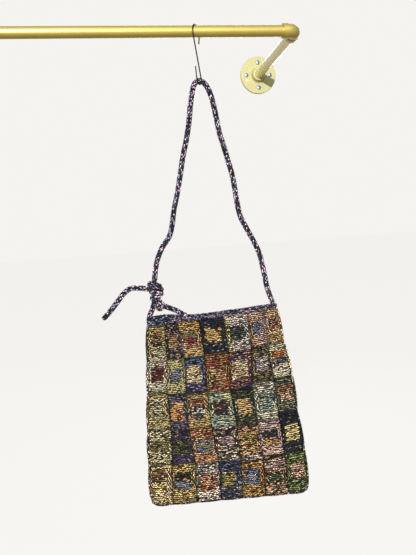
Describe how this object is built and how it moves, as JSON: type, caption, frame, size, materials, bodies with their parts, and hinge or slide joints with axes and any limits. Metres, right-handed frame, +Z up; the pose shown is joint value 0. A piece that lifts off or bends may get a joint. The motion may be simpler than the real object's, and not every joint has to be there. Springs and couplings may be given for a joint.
{
  "type": "crocheted patchwork bag hanging from an S-hook and wall rail",
  "caption": "Slack shoulder bag of crocheted framed patches with a knotted cord strap, hung by a wire S-hook from a brass-coloured pipe rail with an elbow and a round wall flange",
  "frame": {"origin": "centre of the wall flange's flat back face", "axes": "+X along the rail towards the elbow, +Y into the wall, +Z up"},
  "size_m": [0.6427, 0.32, 1.0343],
  "materials": {
    "patch_yarn": "marled scrap yarn, crocheted",
    "navy_yarn": "navy, charcoal and mauve marled yarn, crocheted",
    "satin_brass": "satin",
    "hook_steel": "dull grey wire",
    "screw_steel": "zinc plated"
  },
  "bodies": {
    "root": {"front_panel": "patch_yarn", "back_panel": "patch_yarn", "edge_seam": "navy_yarn", "rim_band": "navy_yarn", "strap": "navy_yarn", "strap_foot": "navy_yarn", "strap_knot": "navy_yarn", "tie_cord": "navy_yarn", "tie_tail": "navy_yarn", "s_hook": "hook_steel", "rail": "satin_brass", "rail_end_cap": "satin_brass", "elbow": "satin_brass", "bracket_arm": "satin_brass", "wall_flange": "satin_brass", "flange_screw_1": "screw_steel", "flange_screw_2": "screw_steel", "flange_screw_3": "screw_steel", "flange_screw_4": "screw_steel"}
  },
  "joints": []
}
